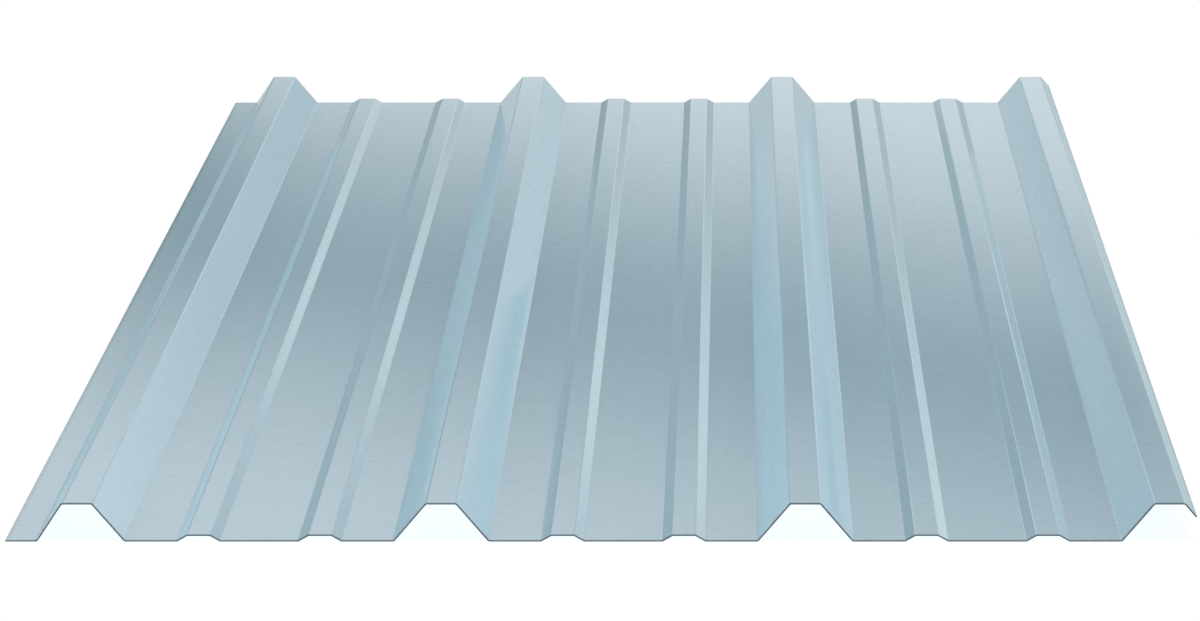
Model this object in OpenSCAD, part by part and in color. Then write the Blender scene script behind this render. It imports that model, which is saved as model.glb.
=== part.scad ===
// Corrugated roofing sheet: one strip of steel, roll-formed into trapezoidal ribs.
// X runs across the ribs, Y along them and Z up. The origin is under the middle of
// the sheet, on the plane that the flat pans lie on.

/* [Sheet] */
// Length of the sheet along its ribs
sheet_length = 2438.4; // [600:0.1:6000]
// Thickness of the steel
sheet_thickness = 1.2; // [0.4:0.05:2.5]
// Inside radius of every bend
bend_radius = 2; // [0.5:0.1:5]

/* [Main ribs] */
// Number of main ribs
rib_count = 4; // [2:1:8]
// Distance between neighbouring main ribs, centre to centre
rib_pitch = 304.8; // [220:0.1:450]
// Rise of a main rib's crown above the pan
rib_height = 31.75; // [18:0.05:60]
// Width of a main rib's crown, between the corner lines of its bends
rib_crown_width = 25.4; // [12:0.1:60]
// Width of a main rib at the pan, between the corner lines of its bends
rib_base_width = 79.4; // [50:0.1:120]

/* [Stiffening ribs] */
// Number of low stiffening ribs in each pan
stiffener_count = 2; // [0:1:3]
// Rise of a stiffening rib's crown above the pan
stiffener_height = 4.8; // [2:0.1:10]
// Width of a stiffening rib's crown, between the corner lines of its bends
stiffener_crown_width = 19; // [8:0.1:28]
// Width of a stiffening rib at the pan, between the corner lines of its bends
stiffener_base_width = 36; // [26:0.1:55]

/* [Side laps] */
// Width of the flat leg that lies on the purlin beside the first rib
leg_width = 26.5; // [10:0.1:60]
// Sideways run of the first rib's outer web, which is steeper than the other webs
lap_web_run = 21; // [8:0.1:40]
// Drop of the lip that closes the last rib, below its crown
lip_drop = 11.4; // [4:0.1:16]

/* [Hidden] */

// Flat steps that each bend is rolled in
bend_steps = 8;
// Radius of every bend at the middle of the steel
middle_radius = bend_radius + sheet_thickness / 2;
// Sideways run of a main rib's web for each millimetre of its rise
web_slope = (rib_base_width - rib_crown_width) / 2 / rib_height;
web_angle = atan(1 / web_slope);

// Corner lines of the web that climbs to a rib's crown, and of the web that goes down
// from it, from left to right
function rising_side(centre, base, crown, height) =
    [[centre - base / 2, 0], [centre - crown / 2, height]];
function falling_side(centre, base, crown, height) =
    [[centre + crown / 2, height], [centre + base / 2, 0]];

// Corner lines of the stiffening ribs in the pan to the right of a main rib
function pan_corners(rib) = [
    for (i = [1 : 1 : stiffener_count])
        let (centre = rib_pitch * (rib + i / (stiffener_count + 1)))
        each concat(
            rising_side(centre, stiffener_base_width, stiffener_crown_width, stiffener_height),
            falling_side(centre, stiffener_base_width, stiffener_crown_width, stiffener_height))
];

// Corner lines of the whole section at the middle of the steel, from the leg's edge
// to the lip's edge, with the first rib's centre at X = 0 and the pans at Z = 0
last_rib = rib_pitch * (rib_count - 1);
lap_foot = -rib_crown_width / 2 - lap_web_run;
lip_edge = [last_rib + rib_crown_width / 2 + lip_drop * web_slope, rib_height - lip_drop];
corners = concat(
    [[lap_foot - leg_width, 0], [lap_foot, 0], [-rib_crown_width / 2, rib_height]],
    [for (rib = [0 : rib_count - 2]) each concat(
        falling_side(rib * rib_pitch, rib_base_width, rib_crown_width, rib_height),
        pan_corners(rib),
        rising_side((rib + 1) * rib_pitch, rib_base_width, rib_crown_width, rib_height))],
    [[last_rib + rib_crown_width / 2, rib_height], lip_edge]
);

// Outer edges of the section, from which its middle is found
left_edge = corners[0].x;
right_edge = lip_edge.x + sheet_thickness / 2 * sin(web_angle);

function heading(from, to) = atan2(to.y - from.y, to.x - from.x);
function along(angle) = [cos(angle), sin(angle)];
function left_of(angle) = [-sin(angle), cos(angle)];
function reversed(points) = [for (i = [len(points) - 1 : -1 : 0]) points[i]];

// Points round one bend, on the line that lies offset to the left of the steel's middle
function bend_arc(before, corner, after, offset) =
    let (
        start = heading(before, corner),
        turn = heading(corner, after) - start,
        side = sign(turn),
        tangent = middle_radius * tan(abs(turn) / 2),
        centre = corner - tangent * along(start) + side * middle_radius * left_of(start)
    )
    [for (i = [0 : bend_steps])
        centre - (side * middle_radius - offset) * left_of(start + turn * i / bend_steps)];

// One face of the steel from edge to edge, offset to the left of its middle
function face_line(offset) =
    let (last = len(corners) - 1)
    concat(
        [corners[0] + offset * left_of(heading(corners[0], corners[1]))],
        [for (i = [1 : last - 1])
            each bend_arc(corners[i - 1], corners[i], corners[i + 1], offset)],
        [corners[last] + offset * left_of(heading(corners[last - 1], corners[last]))]);

// Section of the steel across the ribs
module section() {
    polygon(concat(face_line(sheet_thickness / 2), reversed(face_line(-sheet_thickness / 2))));
}

// The whole sheet, rolled from one strip and cut square at both ends
module corrugated_sheet() {
    color("#a9c0cb")
    translate([-(left_edge + right_edge) / 2, 0, sheet_thickness / 2])
    rotate([90, 0, 0])
    linear_extrude(height = sheet_length, center = true)
        section();
}

corrugated_sheet();
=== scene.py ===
"""Looks of a corrugated steel sheet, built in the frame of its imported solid.

The sheet is one strip of coated steel, rolled into trapezoidal ribs. Its mesh follows the same
section as the solid, with truly round bends, and carries two finishes: the coated faces and the
bare steel of the sheared edges. A white floor, soft light, graded cards for the steel to mirror
and a camera make the studio round it.
"""

import logging
import math
from dataclasses import dataclass
from enum import Enum

import bpy
import numpy as np
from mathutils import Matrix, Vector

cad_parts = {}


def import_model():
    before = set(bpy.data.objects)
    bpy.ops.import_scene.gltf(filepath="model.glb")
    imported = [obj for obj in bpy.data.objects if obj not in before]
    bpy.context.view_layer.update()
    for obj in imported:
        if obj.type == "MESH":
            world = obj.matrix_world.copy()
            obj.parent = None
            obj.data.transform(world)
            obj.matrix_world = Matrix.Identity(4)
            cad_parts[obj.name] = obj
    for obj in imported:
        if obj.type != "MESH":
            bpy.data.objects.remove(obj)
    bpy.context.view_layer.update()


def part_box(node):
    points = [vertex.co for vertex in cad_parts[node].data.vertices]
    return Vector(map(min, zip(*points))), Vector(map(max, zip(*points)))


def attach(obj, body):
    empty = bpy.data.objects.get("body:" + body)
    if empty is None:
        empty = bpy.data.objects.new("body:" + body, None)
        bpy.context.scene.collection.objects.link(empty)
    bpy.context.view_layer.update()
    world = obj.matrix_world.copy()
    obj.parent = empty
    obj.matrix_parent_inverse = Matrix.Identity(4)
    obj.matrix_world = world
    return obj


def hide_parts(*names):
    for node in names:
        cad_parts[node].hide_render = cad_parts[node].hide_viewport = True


LOG = logging.getLogger("corrugated_sheet")
SHEET_NODE = "corrugated_sheet"
SHEET_PIECE = "ribbed_sheet"
BODY = "root"
STRIP_MAP = "strip"
BAKE_MAP = "OFBake"
BEND_ATTRIBUTE = "bend"
# A camera that isn't turned looks straight down, and this turn lifts it level.
LEVEL_DEG = 90.0

Triple = tuple[float, float, float]
Colour = Triple
Socket = bpy.types.NodeSocket


class Face(Enum):
    """The two broad faces of the steel, by the side of its middle that each lies on."""

    WEATHER = 1
    UNDERSIDE = -1


class SheetSlot(Enum):
    """The sheet's material slots."""

    COATED = 0
    SHEARED = 1


class CardSlot(Enum):
    """A card's material slots, in the order of its two faces."""

    STANDING = 0
    APRON = 1


class Side(Enum):
    """The sides of the sheet that the cards stand on, in degrees turned from the far end."""

    FAR = 0.0
    NEAR = 180.0
    LEFT = 90.0
    RIGHT = -90.0


class Sum(Enum):
    """The sums that a finish does with its patterns, under Blender's names."""

    ADD = "ADD"
    TAKE = "SUBTRACT"
    TIMES = "MULTIPLY"
    TIMES_ADD = "MULTIPLY_ADD"
    LEAST = "MINIMUM"
    MOST = "MAXIMUM"
    SIZE = "ABSOLUTE"


class Shader:
    """A material's or a world's node tree, with short ways to add nodes and to join them."""

    def __init__(self, tree: bpy.types.NodeTree) -> None:
        """Starts on an empty tree.

        Args:
            tree: the node tree to fill, whose own nodes are cleared away.
        """
        self.tree = tree
        self.tree.nodes.clear()

    def node(self, kind: str, **settings: object) -> bpy.types.Node:
        """Adds a node.

        Args:
            kind: the node's type, as Blender names it.
            settings: properties of the node, and values of its inputs under their own names
                with each space written as an underscore. A socket is joined to the input.

        Returns:
            The new node.
        """
        made = self.tree.nodes.new(kind)
        inputs = []
        for key, value in settings.items():
            if hasattr(made, key):
                setattr(made, key, value)
            else:
                inputs.append((key.replace("_", " "), value))
        for name, value in inputs:
            self.feed(made.inputs[name], value)
        return made

    def feed(self, target: Socket, value: object) -> None:
        """Joins a socket to an input, or sets the input to a plain value.

        Args:
            target: the input.
            value: the socket to join to it, or the plain value.
        """
        if isinstance(value, Socket):
            self.tree.links.new(value, target)
        else:
            target.default_value = value

    def sum(self, kind: Sum, *terms: Socket | float) -> Socket:
        """Adds a node that does one sum.

        Args:
            kind: the sum.
            terms: its terms in order.

        Returns:
            The result's socket.
        """
        made = self.node("ShaderNodeMath", operation=kind.value)
        for target, term in zip(made.inputs, terms):
            self.feed(target, term)
        return made.outputs[0]

    def slope(
        self, value: Socket, low: float, high: float, start: float, end: float, ease: bool = False
    ) -> Socket:
        """Turns one range of values into another and holds it at both ends.

        Args:
            value: the socket to read.
            low: the value at which the slope starts.
            high: the value at which it ends.
            start: the result at the start.
            end: the result at the end.
            ease: whether the slope starts and ends gently.

        Returns:
            The result's socket.
        """
        made = self.node(
            "ShaderNodeMapRange",
            interpolation_type="SMOOTHSTEP" if ease else "LINEAR",
            Value=value,
            From_Min=low,
            From_Max=high,
            To_Min=start,
            To_Max=end,
        )
        return made.outputs["Result"]

    def stretched(self, place: Socket, scale: Triple) -> Socket:
        """Scales coordinates by one factor for each axis."""
        return self.node("ShaderNodeMapping", Vector=place, Scale=scale).outputs["Vector"]


def new_material(name: str) -> tuple[bpy.types.Material, Shader]:
    """Makes an empty material.

    Args:
        name: the material's name.

    Returns:
        The material, and the shader that fills it.
    """
    material = bpy.data.materials.new(name)
    material.use_nodes = True
    return material, Shader(material.node_tree)


def shown_to_lens_and_mirrors(shader: Shader) -> Socket:
    """Tells the rays that show a thing from those that only light dull faces with it.

    Args:
        shader: the shader to add to.

    Returns:
        A socket with 1 on rays from the lens, off a gloss or through glass, and 0 on the rest.
    """
    path = shader.node("ShaderNodeLightPath")
    sight = shader.sum(Sum.MOST, path.outputs["Is Camera Ray"], path.outputs["Is Glossy Ray"])
    return shader.sum(Sum.MOST, sight, path.outputs["Is Transmission Ray"])


@dataclass(frozen=True)
class CoatedSteel:
    """Finish of the broad faces: blue-grey coated steel under a thin clear lacquer.

    Sizes are in metres. A spread is how far a pattern moves a value up and down, and a detail is
    the number of finer layers in a pattern.

    Attributes:
        colour: the steel's colour, seen square on.
        edge_tint: the tint of what it mirrors at a low angle.
        roughness: its roughness.
        lacquer: the strength of the lacquer's gloss.
        lacquer_roughness: the lacquer's roughness.
        cloud_size: the size of the slow clouds of tone.
        cloud_detail: their detail.
        cloud_spread: their spread of tone.
        spangle_size: the size of a crystal of the metal coat.
        spangle_spread: the crystals' spread of tone.
        spangle_roughness: their spread of roughness.
        streak_width: the width of a line that the rolls leave.
        streak_length: its length.
        streak_detail: the detail of such lines.
        streak_roughness: their spread of roughness.
        painted_bend_highlight: how much lighter the middle of a bend is, a painted highlight along
            the bends.
        bend_polish: how much smoother it is.
        worn_band: the width of the scuffed band along the cut edges.
        worn_detail: the detail of its ragged border.
        worn_tone: the share of the tone that is left in it.
        worn_roughness: how much rougher it is.
        relief: the height of the crystals and the roll lines.
    """

    colour: Colour = (0.375, 0.514, 0.6)
    edge_tint: Colour = (0.745, 0.96, 1.0)
    roughness: float = 0.49
    lacquer: float = 0.67
    lacquer_roughness: float = 0.07
    cloud_size: float = 0.5
    cloud_detail: float = 3.0
    cloud_spread: float = 0.05
    spangle_size: float = 0.006
    spangle_spread: float = 0.02
    spangle_roughness: float = 0.05
    streak_width: float = 0.0012
    streak_length: float = 0.7
    streak_detail: float = 2.0
    streak_roughness: float = 0.05
    painted_bend_highlight: float = 0.06
    bend_polish: float = 0.08
    worn_band: float = 0.005
    worn_detail: float = 4.0
    worn_tone: float = 0.72
    worn_roughness: float = 0.18
    relief: float = 0.000006

    def material(self, strip_width: float, strip_length: float) -> bpy.types.Material:
        """Makes the material of the coated faces.

        Args:
            strip_width: the strip's width before it was rolled.
            strip_length: the strip's length.

        Returns:
            The finished material.
        """
        material, shader = new_material("coated_steel")
        strip = shader.node("ShaderNodeUVMap", uv_map=STRIP_MAP).outputs["UV"]
        clouds = self.clouds(shader)
        cells = self.spangle(shader, strip)
        streaks = self.streaks(shader, strip)
        bend = shader.node("ShaderNodeAttribute", attribute_name=BEND_ATTRIBUTE).outputs["Fac"]
        wear = self.wear(shader, strip, strip_width, strip_length)
        tone = self.shade(shader, clouds, cells["Red"], bend, wear)
        colour = shader.node("ShaderNodeVectorMath", operation="SCALE", Scale=tone)
        colour.inputs[0].default_value = self.colour
        rough = self.grain(shader, cells["Green"], streaks, bend, wear)
        height = shader.sum(Sum.ADD, cells["Blue"], streaks)
        bump = shader.node("ShaderNodeBump", Strength=1.0, Distance=self.relief, Height=height)
        surface = shader.node(
            "ShaderNodeBsdfPrincipled",
            Base_Color=colour.outputs["Vector"],
            Metallic=1.0,
            Roughness=rough,
            Specular_Tint=(*self.edge_tint, 1.0),
            Normal=bump.outputs["Normal"],
            Coat_Weight=self.lacquer,
            Coat_Roughness=self.lacquer_roughness,
        )
        shader.node("ShaderNodeOutputMaterial", Surface=surface.outputs["BSDF"])
        return material

    def shade(
        self, shader: Shader, clouds: Socket, crystal: Socket, bend: Socket, wear: Socket
    ) -> Socket:
        """Adds up what changes the steel's tone, with a painted highlight along the bends.

        Args:
            shader: the shader to add to.
            clouds: the slow change of tone.
            crystal: one chance value for each crystal.
            bend: 1 in the middle of a bend and 0 on the flats.
            wear: 1 at a cut edge, falling to 0 inside the scuffed band.

        Returns:
            A socket with the share of the colour that shows.
        """
        tone = shader.sum(Sum.TIMES_ADD, clouds, 2 * self.cloud_spread, 1 - self.cloud_spread)
        shift = shader.sum(Sum.TIMES_ADD, crystal, 2 * self.spangle_spread, -self.spangle_spread)
        tone = shader.sum(Sum.ADD, tone, shift)
        # The middle of each bend is painted lighter: a painted highlight along the bends.
        tone = shader.sum(Sum.TIMES_ADD, bend, self.painted_bend_highlight, tone)
        return shader.sum(Sum.TIMES, tone, shader.slope(wear, 0.0, 1.0, 1.0, self.worn_tone))

    def grain(
        self, shader: Shader, crystal: Socket, streaks: Socket, bend: Socket, wear: Socket
    ) -> Socket:
        """Adds up what changes the steel's roughness.

        Args:
            shader: the shader to add to.
            crystal: one chance value for each crystal.
            streaks: the lines that the rolls leave.
            bend: 1 in the middle of a bend and 0 on the flats.
            wear: 1 at a cut edge, falling to 0 inside the scuffed band.

        Returns:
            A socket with the roughness.
        """
        rough = shader.sum(Sum.TIMES_ADD, crystal, 2 * self.spangle_roughness, self.roughness)
        rough = shader.sum(Sum.TIMES_ADD, streaks, 2 * self.streak_roughness, rough)
        rough = shader.sum(Sum.TIMES_ADD, bend, -self.bend_polish, rough)
        rough = shader.sum(Sum.TIMES_ADD, wear, self.worn_roughness, rough)
        # The patterns run from 0 to 1, so their middles are taken off again.
        return shader.sum(Sum.TAKE, rough, self.spangle_roughness + self.streak_roughness)

    def clouds(self, shader: Shader) -> Socket:
        """Adds the slow change of tone over the whole sheet.

        Args:
            shader: the shader to add to.

        Returns:
            A socket with values from 0 to 1.
        """
        place = shader.node("ShaderNodeTexCoord").outputs["Object"]
        noise = shader.node(
            "ShaderNodeTexNoise", Vector=place, Scale=1 / self.cloud_size, Detail=self.cloud_detail
        )
        return noise.outputs["Fac"]

    def spangle(self, shader: Shader, strip: Socket) -> dict[str, Socket]:
        """Adds the crystal pattern of the metal coat.

        Args:
            shader: the shader to add to.
            strip: coordinates on the strip before it was rolled.

        Returns:
            Three sockets with one chance value for each crystal: Red, Green and Blue.
        """
        crystals = shader.node(
            "ShaderNodeTexVoronoi",
            voronoi_dimensions="2D",
            Vector=strip,
            Scale=1 / self.spangle_size,
        )
        split = shader.node("ShaderNodeSeparateColor", Color=crystals.outputs["Color"])
        return dict(split.outputs.items())

    def streaks(self, shader: Shader, strip: Socket) -> Socket:
        """Adds the fine lines that the rolls leave along the strip.

        Args:
            shader: the shader to add to.
            strip: coordinates on the strip before it was rolled.

        Returns:
            A socket with values from 0 to 1.
        """
        drawn_out = (1 / self.streak_width, 1 / self.streak_length, 1.0)
        noise = shader.node(
            "ShaderNodeTexNoise",
            noise_dimensions="2D",
            Vector=shader.stretched(strip, drawn_out),
            Scale=1.0,
            Detail=self.streak_detail,
        )
        return noise.outputs["Fac"]

    def wear(self, shader: Shader, strip: Socket, width: float, length: float) -> Socket:
        """Adds the scuffed band along the cut edges.

        Args:
            shader: the shader to add to.
            strip: coordinates on the strip before it was rolled.
            width: the strip's width.
            length: the strip's length.

        Returns:
            A socket with 1 at a cut edge, falling raggedly to 0 inside the band.
        """
        split = shader.node("ShaderNodeSeparateXYZ", Vector=strip)
        gaps = []
        for place, size in zip(("X", "Y"), (width, length)):
            off_middle = shader.sum(Sum.TAKE, split.outputs[place], size / 2)
            gaps.append(shader.sum(Sum.TAKE, size / 2, shader.sum(Sum.SIZE, off_middle)))
        nearest = shader.sum(Sum.LEAST, *gaps)
        ragged = shader.node(
            "ShaderNodeTexNoise",
            noise_dimensions="2D",
            Vector=strip,
            Scale=1 / self.worn_band,
            Detail=self.worn_detail,
        )
        reach = shader.sum(Sum.TIMES_ADD, ragged.outputs["Fac"], -self.worn_band, nearest)
        return shader.slope(reach, -self.worn_band / 2, self.worn_band / 2, 1.0, 0.0, ease=True)


@dataclass(frozen=True)
class ShearedEdge:
    """Finish of the cut edges: bare steel with the marks of the shear blade.

    The blade cuts a smooth band below the weather face, and the rest of the thickness tears off.
    Sizes are in metres, and a share is a share of the thickness.

    Attributes:
        smooth_colour: the smooth band's colour.
        torn_colour: the torn band's colour.
        smooth_roughness: the smooth band's roughness.
        torn_roughness: the torn band's roughness.
        smooth_share: the smooth band's share.
        ragged_share: how far the border of the two bands wanders.
        border_share: the width over which one band turns into the other.
        mark_spacing: the distance between the blade's marks.
        mark_rise: how many thicknesses tall a mark is.
        mark_detail: the number of finer layers in the marks.
        relief: the depth of the marks.
    """

    smooth_colour: Colour = (0.17, 0.23, 0.27)
    torn_colour: Colour = (0.1, 0.14, 0.17)
    smooth_roughness: float = 0.42
    torn_roughness: float = 0.62
    smooth_share: float = 0.4
    ragged_share: float = 0.5
    border_share: float = 1 / 3
    mark_spacing: float = 0.0006
    mark_rise: float = 4.0
    mark_detail: float = 3.0
    relief: float = 0.00004

    def material(self, thickness: float) -> bpy.types.Material:
        """Makes the material of the cut edges.

        Args:
            thickness: the steel's thickness.

        Returns:
            The finished material.
        """
        material, shader = new_material("sheared_edge")
        strip = shader.node("ShaderNodeUVMap", uv_map=STRIP_MAP).outputs["UV"]
        upright = (1 / self.mark_spacing, 1 / (self.mark_rise * thickness), 1.0)
        marks = shader.node(
            "ShaderNodeTexNoise",
            noise_dimensions="2D",
            Vector=shader.stretched(strip, upright),
            Scale=1.0,
            Detail=self.mark_detail,
        ).outputs["Fac"]
        depth = shader.node("ShaderNodeSeparateXYZ", Vector=strip).outputs["Y"]
        ragged = shader.sum(Sum.TIMES_ADD, marks, thickness * self.ragged_share, depth)
        # The marks run from 0 to 1, so on average they lift the border by half their share.
        turn = thickness * (1 + self.ragged_share / 2 - self.smooth_share)
        half_border = thickness * self.border_share / 2
        smooth = shader.slope(ragged, turn - half_border, turn + half_border, 0.0, 1.0)
        colour = shader.node(
            "ShaderNodeMix", data_type="RGBA", blend_type="MIX", clamp_factor=True
        )
        shader.feed(colour.inputs["Factor"], smooth)
        colour.inputs["A"].default_value = (*self.torn_colour, 1.0)
        colour.inputs["B"].default_value = (*self.smooth_colour, 1.0)
        rough = shader.slope(smooth, 0.0, 1.0, self.torn_roughness, self.smooth_roughness)
        bump = shader.node("ShaderNodeBump", Strength=1.0, Distance=self.relief, Height=marks)
        surface = shader.node(
            "ShaderNodeBsdfPrincipled",
            Base_Color=colour.outputs["Result"],
            Metallic=1.0,
            Roughness=rough,
            Normal=bump.outputs["Normal"],
        )
        shader.node("ShaderNodeOutputMaterial", Surface=surface.outputs["BSDF"])
        return material


@dataclass
class Section:
    """The rolled section, as points along the middle of the steel from the leg to the lip.

    Attributes:
        points: one row of X and Z for each point.
        angles: the steel's direction at each point, in radians from +X.
        bends: 1 in the middle of a bend and 0 on the flats.
        run: each point's distance along the strip before it was rolled.
    """

    points: np.ndarray
    angles: np.ndarray
    bends: np.ndarray
    run: np.ndarray

    def normals(self) -> np.ndarray:
        """Gives the direction out of the weather face at each point, as X, Y and Z."""
        level = np.zeros_like(self.angles)
        return np.stack([-np.sin(self.angles), level, np.cos(self.angles)], axis=1)


@dataclass
class Patch:
    """One side of the sheet, as a grid of vertices that faces out of the steel.

    Attributes:
        grid: vertex numbers in rows and columns.
        normals: the direction out of the steel at each vertex of the grid.
        across: each column's distance along the side, in metres.
        along: each row's distance up the side, in metres.
        slot: the side's finish.
    """

    grid: np.ndarray
    normals: np.ndarray
    across: np.ndarray
    along: np.ndarray
    slot: SheetSlot

    def by_corner(self, values: np.ndarray) -> np.ndarray:
        """Gives the values at the four corners of each quad.

        Args:
            values: one value, or one row of values, for each vertex of the grid.

        Returns:
            The values with the quads first and their four corners second.
        """
        corners = [values[:-1, :-1], values[:-1, 1:], values[1:, 1:], values[1:, :-1]]
        stacked = np.stack(corners, axis=2)
        return stacked.reshape(-1, len(corners), *values.shape[2:])

    def places(self, rise: float = 1.0) -> np.ndarray:
        """Gives each vertex's place on the side, with distances up it times the rise."""
        return np.stack(np.meshgrid(self.across, self.along * rise), axis=2)


@dataclass
class RibbedSheet:
    """The sheet: its rolled section, its mesh and its dress.

    Sizes are in metres, and those of the section are taken at the middle of the steel.

    Attributes:
        length: the sheet's length.
        left_edge: X of the leg's outer edge.
        thickness: the steel's thickness.
        bend_radius: the inside radius of every bend.
        rib_count: the number of main ribs.
        rib_pitch: the distance from one main rib to the next.
        rib_height: a main rib's rise above the pan.
        rib_crown: its width at the top.
        rib_base: its width at the pan.
        stiffener_count: the number of stiffening ribs in each pan.
        stiffener_height: a stiffening rib's rise above the pan.
        stiffener_crown: its width at the top.
        stiffener_base: its width at the pan.
        leg_width: the width of the flat leg beside the first rib.
        lap_web_run: the sideways run of the first rib's steeper outer web.
        lip_drop: how far the lip comes down from the last rib's crown.
        bend_steps: the number of faces round each bend.
        length_steps: the number of faces along the sheet.
        bake_margin: the gap between the sides on the bake map.
        bake_edge_rise: how many times taller the cut edges are drawn there.
    """

    length: float
    left_edge: float
    thickness: float = 0.0012
    bend_radius: float = 0.002
    rib_count: int = 4
    rib_pitch: float = 0.3048
    rib_height: float = 0.03175
    rib_crown: float = 0.0254
    rib_base: float = 0.0794
    stiffener_count: int = 2
    stiffener_height: float = 0.0048
    stiffener_crown: float = 0.019
    stiffener_base: float = 0.036
    leg_width: float = 0.0265
    lap_web_run: float = 0.021
    lip_drop: float = 0.0114
    bend_steps: int = 8
    length_steps: int = 48
    bake_margin: float = 0.01
    bake_edge_rise: float = 10.0

    @staticmethod
    def rib(centre: float, base: float, crown: float, height: float) -> list[tuple[float, float]]:
        """Gives the four corner lines of a rib, from left to right.

        Args:
            centre: X of the rib's middle.
            base: its width at the pan.
            crown: its width at the top.
            height: its rise above the pan.

        Returns:
            X and Z of each corner line, with the pan at Z = 0.
        """
        return [
            (centre - base / 2, 0.0),
            (centre - crown / 2, height),
            (centre + crown / 2, height),
            (centre + base / 2, 0.0),
        ]

    def corner_lines(self) -> np.ndarray:
        """Gives the section's corner lines at the middle of the steel, from the leg to the lip.

        Returns:
            One row of X and Z for each corner line, with the leg's edge at X = 0.
        """
        half_crown = self.rib_crown / 2
        first_rib = self.leg_width + self.lap_web_run + half_crown
        corners = [(0.0, 0.0), (self.leg_width, 0.0), (first_rib - half_crown, self.rib_height)]
        for number in range(self.rib_count - 1):
            centre = first_rib + number * self.rib_pitch
            corners += self.rib(centre, self.rib_base, self.rib_crown, self.rib_height)[2:]
            spacing = self.rib_pitch / (self.stiffener_count + 1)
            for place in range(1, self.stiffener_count + 1):
                corners += self.rib(
                    centre + place * spacing,
                    self.stiffener_base,
                    self.stiffener_crown,
                    self.stiffener_height,
                )
            following = centre + self.rib_pitch
            corners += self.rib(following, self.rib_base, self.rib_crown, self.rib_height)[:2]
        web_slope = (self.rib_base - self.rib_crown) / 2 / self.rib_height
        last_corner = first_rib + (self.rib_count - 1) * self.rib_pitch + half_crown
        corners.append((last_corner, self.rib_height))
        corners.append((last_corner + self.lip_drop * web_slope, self.rib_height - self.lip_drop))
        return np.array(corners)

    def section(self) -> Section:
        """Rounds the corner lines into bends.

        Returns:
            The section in the frame's X and Z.
        """
        corners = self.corner_lines()
        legs = np.diff(corners, axis=0)
        headings = np.arctan2(legs[:, 1], legs[:, 0])
        radius = self.bend_radius + self.thickness / 2
        points = [corners[0]]
        angles = [headings[0]]
        bends = [0.0]
        for corner, before, after in zip(corners[1:-1], headings, headings[1:]):
            turn = after - before
            side = math.copysign(1.0, turn)
            tangent = radius * math.tan(abs(turn) / 2)
            start = corner - tangent * np.array([math.cos(before), math.sin(before)])
            centre = start + side * radius * np.array([-math.sin(before), math.cos(before)])
            for share in np.linspace(0.0, 1.0, self.bend_steps + 1):
                angle = before + turn * share
                points.append(centre - side * radius * np.array([-math.sin(angle), math.cos(angle)]))
                angles.append(angle)
                bends.append(math.sin(math.pi * share))
        points.append(corners[-1])
        angles.append(headings[-1])
        bends.append(0.0)
        placed = np.array(points) + [self.left_edge, self.thickness / 2]
        steps = np.linalg.norm(np.diff(placed, axis=0), axis=1)
        run = np.concatenate([[0.0], np.cumsum(steps)])
        return Section(placed, np.array(angles), np.array(bends), run)

    def vertices(self, section: Section, stations: np.ndarray) -> np.ndarray:
        """Places the vertices of the two broad faces, which all the sides share.

        Args:
            section: the rolled section.
            stations: Y of each row of vertices.

        Returns:
            One row of X, Y and Z for each vertex, with the weather face first.
        """
        placed = np.zeros((len(Face), len(stations), len(section.points), 3))
        middle = np.insert(section.points, 1, 0.0, axis=1)
        for layer, face in enumerate(Face):
            placed[layer] = middle + face.value * self.thickness / 2 * section.normals()
        placed[..., 1] = stations[:, None]
        return placed.reshape(-1, 3)

    def patches(self, section: Section, stations: np.ndarray) -> list[Patch]:
        """Divides the sheet's vertices into its six sides.

        Args:
            section: the rolled section.
            stations: Y of each row of vertices.

        Returns:
            The weather face, the underside, the two cut ends, and the slit edges of the leg
            and the lip.
        """
        shape = (len(Face), len(stations), len(section.points))
        top, under = np.arange(math.prod(shape)).reshape(shape)
        upward = np.tile(section.normals(), (len(stations), 1, 1))
        run = section.run
        up_strip = stations - stations[0]
        through = np.array([0.0, self.thickness])
        leg_out = -np.array([math.cos(section.angles[0]), 0.0, math.sin(section.angles[0])])
        lip_out = np.array([math.cos(section.angles[-1]), 0.0, math.sin(section.angles[-1])])
        to_near = np.array([0.0, -1.0, 0.0])
        near_end = np.stack([under[0], top[0]])
        far_end = np.stack([under[-1], top[-1]])[:, ::-1]
        leg_slit = np.stack([under[:, 0], top[:, 0]])[:, ::-1]
        lip_slit = np.stack([under[:, -1], top[:, -1]])
        cut = SheetSlot.SHEARED

        def flat(grid: np.ndarray, way: np.ndarray) -> np.ndarray:
            """Gives one direction at every vertex of a grid."""
            return np.broadcast_to(way, (*grid.shape, 3))

        return [
            Patch(top, upward, run, up_strip, SheetSlot.COATED),
            Patch(under[:, ::-1], -upward[:, ::-1], run[::-1], up_strip, SheetSlot.COATED),
            Patch(near_end, flat(near_end, to_near), run, through, cut),
            Patch(far_end, flat(far_end, -to_near), run[::-1], through, cut),
            Patch(leg_slit, flat(leg_slit, leg_out), up_strip[::-1], through, cut),
            Patch(lip_slit, flat(lip_slit, lip_out), up_strip, through, cut),
        ]

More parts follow.
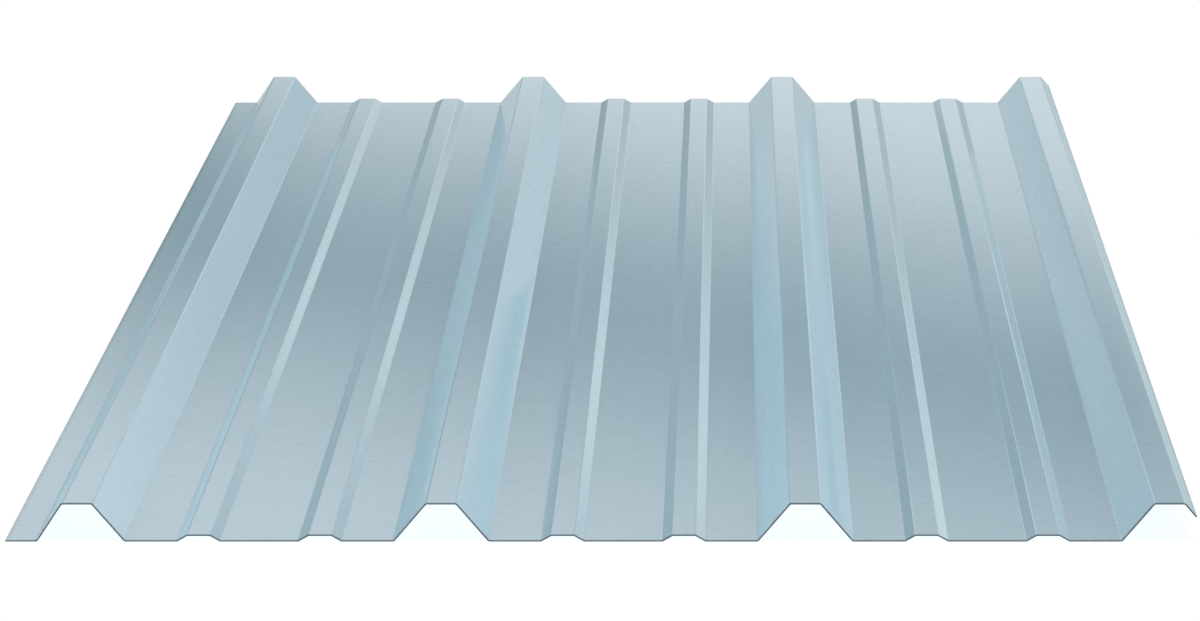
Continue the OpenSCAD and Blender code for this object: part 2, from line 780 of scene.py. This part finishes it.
    def bake_places(self, patches: list[Patch]) -> list[np.ndarray]:
        """Lays the unrolled sides out on one square without overlap.

        The broad faces stand side by side in the first row and the cut ends in the second, and
        the slit edges of the leg and the lip have a row each.

        Args:
            patches: the six sides, with the two broad faces first.

        Returns:
            For each side, the place of each of its vertices on a square of side 1.
        """
        left = self.bake_margin
        right = left + max(patches[0].across) + self.bake_margin
        edge_tall = self.thickness * self.bake_edge_rise + self.bake_margin
        face_row = self.bake_margin
        end_row = face_row + self.length + self.bake_margin
        leg_row = end_row + edge_tall
        lip_row = leg_row + edge_tall
        side = lip_row + edge_tall
        corners = [
            (left, face_row),
            (right, face_row),
            (left, end_row),
            (right, end_row),
            (left, leg_row),
            (left, lip_row),
        ]
        laid = []
        for patch, corner in zip(patches, corners):
            rise = self.bake_edge_rise if patch.slot is SheetSlot.SHEARED else 1.0
            laid.append((patch.places(rise) + corner) / side)
        return laid

    def lay_maps(self, mesh: bpy.types.Mesh, patches: list[Patch]) -> None:
        """Lays the strip's map and the bake map on the mesh.

        Args:
            mesh: the sheet's mesh.
            patches: its six sides.
        """
        maps = {STRIP_MAP: [p.places() for p in patches], BAKE_MAP: self.bake_places(patches)}
        for name, places in maps.items():
            flat = np.concatenate([p.by_corner(at) for p, at in zip(patches, places)])
            mesh.uv_layers.new(name=name).uv.foreach_set("vector", flat.ravel())

    def build(self) -> bpy.types.Object:
        """Builds the sheet as one closed mesh.

        Returns:
            The sheet's object, linked to the scene.
        """
        section = self.section()
        stations = np.linspace(-self.length / 2, self.length / 2, self.length_steps + 1)
        patches = self.patches(section, stations)
        quads = np.concatenate([p.by_corner(p.grid) for p in patches])
        mesh = bpy.data.meshes.new(SHEET_PIECE)
        mesh.from_pydata(self.vertices(section, stations).tolist(), [], quads.tolist())
        slots = [np.full(len(p.by_corner(p.grid)), p.slot.value) for p in patches]
        mesh.polygons.foreach_set("material_index", np.concatenate(slots).astype(np.int32))
        self.lay_maps(mesh, patches)
        bend = mesh.attributes.new(BEND_ATTRIBUTE, "FLOAT", "POINT")
        bend.data.foreach_set("value", np.tile(section.bends, len(Face) * len(stations)))
        mesh.polygons.foreach_set("use_smooth", np.ones(len(mesh.polygons), dtype=bool))
        normals = np.concatenate([p.by_corner(p.normals) for p in patches])
        mesh.normals_split_custom_set(normals.reshape(-1, 3).tolist())
        sheet = bpy.data.objects.new(SHEET_PIECE, mesh)
        bpy.context.scene.collection.objects.link(sheet)
        return sheet

    def dress(self, sheet: bpy.types.Object, coat: CoatedSteel, edge: ShearedEdge) -> None:
        """Gives the sheet its two finishes, in the order of its slots.

        Args:
            sheet: the object that build made.
            coat: the finish of the broad faces.
            edge: the finish of the cut edges.
        """
        strip_width = self.section().run[-1]
        sheet.data.materials.append(coat.material(strip_width, self.length))
        sheet.data.materials.append(edge.material(self.thickness))


@dataclass
class PhotoCamera:
    """The camera at the photograph's viewing angle. Pixels are those of the photograph.

    Attributes:
        place: where the camera stands, in metres.
        pitch_deg: how far it looks down.
        image_width_px: the photograph's width.
        focal_px: the lens's focal length.
        vanishing_x_px: where the lines of the ribs meet, from the photograph's left edge.
        sensor_width_mm: the camera's own width of picture.
    """

    place: Triple = (0.10889, -6.24429, 1.13465)
    pitch_deg: float = 10.572
    image_width_px: float = 1200.0
    focal_px: float = 6150.5
    vanishing_x_px: float = 731.1
    sensor_width_mm: float = 36.0

    def build(self) -> bpy.types.Object:
        """Builds the camera and makes it the scene's own.

        Returns:
            The camera's object.
        """
        data = bpy.data.cameras.new("photo_camera")
        data.sensor_width = self.sensor_width_mm
        data.lens = self.focal_px / self.image_width_px * self.sensor_width_mm
        data.shift_x = (self.image_width_px / 2 - self.vanishing_x_px) / self.image_width_px
        camera = bpy.data.objects.new("photo_camera", data)
        camera.location = self.place
        camera.rotation_euler = (math.radians(LEVEL_DEG - self.pitch_deg), 0.0, 0.0)
        bpy.context.scene.collection.objects.link(camera)
        bpy.context.scene.camera = camera
        return camera


@dataclass
class GradedCard:
    """A far card that the steel mirrors: a dark line, with pools of light above and below it.

    The pans mirror the middle of the card. The left webs mirror the dark space to the left of the
    lower pool, and the right webs a slanting ridge of light to its right. A bright wing stands at
    each end of the card, a pale band runs along its foot, and a dark apron lies on the floor
    before it. Sizes are in metres, places are across from its middle, and a tone of 1 is white.

    Attributes:
        side: the side of the sheet that it stands on.
        end_clear: how far off the sheet's middle an apron stops before an end of the sheet.
        side_clear: how far off the sheet's middle an apron stops before a long edge.
        apron_tone: the apron's tone.
        distance: how far it stands from the middle of the sheet.
        width: its width.
        height: its height above the floor.
        line_height: the dark line's height over the floor, at the card's middle.
        line_tilt_deg: the dark line's climb to the right.
        dark: the line's tone.
        high_tone: the upper pool's tone.
        high_fade: how far above the line the upper pool is full.
        crest_start: the height at which the upper pool starts to fade again.
        crest_end: the height at which it has faded.
        crest_tone: the share of its tone that is left there.
        low_tone: the lower pool's tone.
        low_fade: how far below the line the lower pool is full.
        left_start: the place at which the lower pool starts to fade to the left.
        left_end: the place at which it has faded.
        left_tone: the share of its tone that is left there.
        ridge_start: the place at which the lower pool starts to give way to the ridge.
        ridge_full: the place at which the ridge stands alone.
        ridge_place: a point on the ridge, across and up.
        ridge_tilt_deg: the ridge's climb to the right.
        ridge_tone: the ridge's tone.
        ridge_under: how far below the ridge it has faded.
        ridge_under_tone: the tone below it.
        ridge_over: how far above the ridge it has faded.
        ridge_over_tone: the tone above it.
        foot_tone: the tone of the band along the card's foot.
        foot_start: the height at which the band starts to fade.
        foot_end: the height at which it ends.
        wing_tone: the tone of the wings.
        wing_start: how far off the middle the wings start.
        wing_end: how far off the middle they are full.
        corner_start: how far off the middle they start to fade again.
        corner_tone: the share of their tone that is left at the card's ends.
        top_start: the height at which the card starts to darken.
        top_tone: the share of its tone that is left at its top.
    """

    side: Side
    end_clear: float = 1.225
    side_clear: float = 0.5
    apron_tone: float = 0.54
    distance: float = 40.0
    width: float = 76.8
    height: float = 48.0
    line_height: float = 7.63
    line_tilt_deg: float = 10.5
    dark: float = 0.03
    high_tone: float = 1.33
    high_fade: float = 2.0
    crest_start: float = 9.2
    crest_end: float = 14.5
    crest_tone: float = 0.52
    low_tone: float = 1.27
    low_fade: float = 1.76
    left_start: float = -3.4
    left_end: float = -4.2
    left_tone: float = 0.17
    ridge_start: float = 3.0
    ridge_full: float = 4.0
    ridge_place: tuple[float, float] = (5.45, 5.83)
    ridge_tilt_deg: float = -30.4
    ridge_tone: float = 1.28
    ridge_under: float = 2.0
    ridge_under_tone: float = 0.48
    ridge_over: float = 1.1
    ridge_over_tone: float = 0.67
    foot_tone: float = 0.66
    foot_start: float = 0.8
    foot_end: float = 1.57
    wing_tone: float = 2.2
    wing_start: float = 10.5
    wing_end: float = 22.2
    corner_start: float = 26.4
    corner_tone: float = 0.35
    top_start: float = 19.2
    top_tone: float = 0.45

    @property
    def name(self) -> str:
        """Gives the card's name."""
        return f"{self.side.name.lower()}_card"

    @property
    def apron(self) -> float:
        """Gives how far the apron reaches from the card's foot towards the sheet."""
        at_end = self.side in (Side.FAR, Side.NEAR)
        return self.distance - (self.end_clear if at_end else self.side_clear)

    def build(self) -> bpy.types.Object:
        """Builds the card, seen by the steel alone.

        Returns:
            The card's object.
        """
        half = self.width / 2
        top = self.height
        corners = [(-half, 0, 0), (half, 0, 0), (half, 0, top), (-half, 0, top)]
        corners += [(-half, -self.apron, 0), (half, -self.apron, 0)]
        mesh = bpy.data.meshes.new(self.name)
        mesh.from_pydata(corners, [], [(0, 1, 2, 3), (4, 5, 1, 0)])
        mesh.materials.append(self.material())
        mesh.materials.append(self.apron_material())
        for face, slot in zip(mesh.polygons, CardSlot):
            face.material_index = slot.value
        card = bpy.data.objects.new(self.name, mesh)
        turn = math.radians(self.side.value)
        card.location = (-self.distance * math.sin(turn), self.distance * math.cos(turn), 0.0)
        card.rotation_euler = (0.0, 0.0, turn)
        card.visible_camera = False
        card.visible_diffuse = False
        card.visible_shadow = False
        bpy.context.scene.collection.objects.link(card)
        return card

    def material(self) -> bpy.types.Material:
        """Makes the standing part's graded material.

        Returns:
            The finished material.
        """
        material, shader = new_material(self.name)
        place = shader.node("ShaderNodeTexCoord").outputs["Object"]
        split = shader.node("ShaderNodeSeparateXYZ", Vector=place)
        across = split.outputs["X"]
        up = split.outputs["Z"]
        aside = shader.sum(Sum.SIZE, across)
        tone = self.pools(shader, across, up)
        foot = shader.slope(up, self.foot_start, self.foot_end, self.foot_tone, 0.0)
        wings = shader.slope(aside, self.wing_start, self.wing_end, 0.0, self.wing_tone)
        tone = shader.sum(Sum.MOST, shader.sum(Sum.MOST, tone, foot), wings)
        corners = shader.slope(aside, self.corner_start, self.width / 2, 1.0, self.corner_tone)
        tone = shader.sum(Sum.MOST, shader.sum(Sum.TIMES, tone, corners), self.dark)
        top = shader.slope(up, self.top_start, self.height, 1.0, self.top_tone)
        light = shader.node("ShaderNodeEmission", Strength=shader.sum(Sum.TIMES, tone, top))
        shader.node("ShaderNodeOutputMaterial", Surface=light.outputs["Emission"])
        return material

    def pools(self, shader: Shader, across: Socket, up: Socket) -> Socket:
        """Adds the pools above and below the dark line, and the ridge beside the lower one.

        Args:
            shader: the shader to add to.
            across: the place across the card.
            up: the height on the card.

        Returns:
            A socket with their tone.
        """
        above = self.over_line(shader, across, up, (0.0, self.line_height), self.line_tilt_deg)
        upper = shader.slope(above, 0.0, self.high_fade, 0.0, self.high_tone)
        crest = shader.slope(up, self.crest_start, self.crest_end, 1.0, self.crest_tone)
        upper = shader.sum(Sum.TIMES, upper, crest)
        lower = shader.slope(above, 0.0, -self.low_fade, 0.0, self.low_tone)
        left = shader.slope(across, self.left_start, self.left_end, 1.0, self.left_tone)
        lower = shader.sum(Sum.TIMES, lower, left)
        ridge_share = shader.slope(across, self.ridge_start, self.ridge_full, 0.0, 1.0)
        pool_share = shader.sum(Sum.TAKE, 1.0, ridge_share)
        ridge = shader.sum(Sum.TIMES, self.ridge(shader, across, up), ridge_share)
        lower = shader.sum(Sum.TIMES_ADD, lower, pool_share, ridge)
        return shader.sum(Sum.MOST, upper, lower)

    def ridge(self, shader: Shader, across: Socket, up: Socket) -> Socket:
        """Adds the slanting ridge of light.

        Args:
            shader: the shader to add to.
            across: the place across the card.
            up: the height on the card.

        Returns:
            A socket with its tone.
        """
        off = self.over_line(shader, across, up, self.ridge_place, self.ridge_tilt_deg)
        under = shader.slope(off, -self.ridge_under, 0.0, self.ridge_under_tone, self.ridge_tone)
        over = shader.slope(off, 0.0, self.ridge_over, self.ridge_tone, self.ridge_over_tone)
        return shader.sum(Sum.LEAST, under, over)

    @staticmethod
    def over_line(
        shader: Shader, across: Socket, up: Socket, place: tuple[float, float], tilt_deg: float
    ) -> Socket:
        """Measures how far over a slanting line each point of the card lies.

        Args:
            shader: the shader to add to.
            across: the place across the card.
            up: the height on the card.
            place: a point on the line, across and up.
            tilt_deg: the line's climb to the right.

        Returns:
            A socket with the distance, under 0 below the line.
        """
        tilt = math.radians(tilt_deg)
        sideways, height = place
        start = sideways * math.sin(tilt) - height * math.cos(tilt)
        over = shader.sum(Sum.TIMES_ADD, up, math.cos(tilt), start)
        return shader.sum(Sum.TIMES_ADD, across, -math.sin(tilt), over)

    def apron_material(self) -> bpy.types.Material:
        """Makes the apron's even material.

        Returns:
            The finished material.
        """
        material, shader = new_material(self.name + "_apron")
        light = shader.node("ShaderNodeEmission", Strength=self.apron_tone)
        shader.node("ShaderNodeOutputMaterial", Surface=light.outputs["Emission"])
        return material


@dataclass
class Studio:
    """The plain white studio: a wide floor, the white round it, and one soft lamp.

    Attributes:
        floor_half: half the floor's width, in metres.
        floor_drop: how far the floor lies under the sheet, which keeps their faces apart.
        floor_colour: the colour of its paint.
        floor_glow: the light of its own that the lens and mirrors see.
        ambient: the share of the white round it that falls on dull faces.
        lamp_strength: the lamp's strength.
        lamp_spread_deg: how wide the lamp is, seen from the floor.
        lamp_tilt_deg: its two turns off straight down, about X and about Y.
    """

    floor_half: float = 60.0
    floor_drop: float = 0.0004
    floor_colour: Colour = (0.65, 0.65, 0.65)
    floor_glow: float = 0.8
    ambient: float = 0.1
    lamp_strength: float = 0.7
    lamp_spread_deg: float = 50.0
    lamp_tilt_deg: tuple[float, float] = (14.0, 10.0)

    def build(self) -> list[bpy.types.ID]:
        """Builds the floor, the world and the lamp, and gives them in that order."""
        return [self.build_floor(), self.build_world(), self.build_lamp()]

    def build_floor(self) -> bpy.types.Object:
        """Builds the floor, white where no shadow falls.

        Returns:
            The floor's object.
        """
        half = self.floor_half
        mesh = bpy.data.meshes.new("studio_floor")
        corners = [(-half, -half, 0.0), (half, -half, 0.0), (half, half, 0.0), (-half, half, 0.0)]
        mesh.from_pydata(corners, [], [(0, 1, 2, 3)])
        floor = bpy.data.objects.new("studio_floor", mesh)
        floor.location.z = -self.floor_drop
        bpy.context.scene.collection.objects.link(floor)
        material, shader = new_material("white_floor")
        paint = shader.node("ShaderNodeBsdfDiffuse", Color=(*self.floor_colour, 1.0))
        seen = shown_to_lens_and_mirrors(shader)
        glow = shader.node(
            "ShaderNodeEmission", Strength=shader.sum(Sum.TIMES, seen, self.floor_glow)
        )
        both = shader.node("ShaderNodeAddShader")
        shader.feed(both.inputs[0], paint.outputs["BSDF"])
        shader.feed(both.inputs[1], glow.outputs["Emission"])
        shader.node("ShaderNodeOutputMaterial", Surface=both.outputs["Shader"])
        mesh.materials.append(material)
        return floor

    def build_world(self) -> bpy.types.World:
        """Builds the white round the studio.

        Returns:
            The scene's world.
        """
        world = bpy.data.worlds.new("white_studio")
        bpy.context.scene.world = world
        world.use_nodes = True
        shader = Shader(world.node_tree)
        seen = shown_to_lens_and_mirrors(shader)
        level = shader.sum(Sum.TIMES_ADD, seen, 1.0 - self.ambient, self.ambient)
        white = shader.node("ShaderNodeBackground", Strength=level)
        white.inputs["Color"].default_value = (1.0, 1.0, 1.0, 1.0)
        shader.node("ShaderNodeOutputWorld", Surface=white.outputs["Background"])
        return world

    def build_lamp(self) -> bpy.types.Object:
        """Builds the wide soft lamp overhead, which gives the floor its shadow.

        Returns:
            The lamp's object.
        """
        data = bpy.data.lights.new("soft_lamp", "SUN")
        data.angle = math.radians(self.lamp_spread_deg)
        data.energy = self.lamp_strength
        lamp = bpy.data.objects.new("soft_lamp", data)
        about_x, about_y = self.lamp_tilt_deg
        lamp.rotation_euler = (math.radians(about_x), math.radians(about_y), 0.0)
        lamp.visible_glossy = False
        bpy.context.scene.collection.objects.link(lamp)
        return lamp


def main() -> None:
    """Builds the sheet and the studio round it, and reports each piece."""
    logging.basicConfig(level=logging.INFO, format="%(name)s: %(message)s")
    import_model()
    low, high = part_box(SHEET_NODE)
    ribbed = RibbedSheet(length=high.y - low.y, left_edge=low.x)
    sheet = ribbed.build()
    ribbed.dress(sheet, CoatedSteel(), ShearedEdge())
    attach(sheet, BODY)
    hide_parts(SHEET_NODE)
    LOG.info("%s: %d faces", sheet.name, len(sheet.data.polygons))
    camera = PhotoCamera().build()
    LOG.info("%s: lens of %.1f mm", camera.name, camera.data.lens)
    for piece in Studio().build():
        LOG.info("%s: in place", piece.name)
    for side in Side:
        card = GradedCard(side)
        LOG.info("%s: %.1f m off", card.build().name, card.distance)
    bpy.context.scene.view_settings.view_transform = "Standard"


if __name__ == "__main__":
    main()
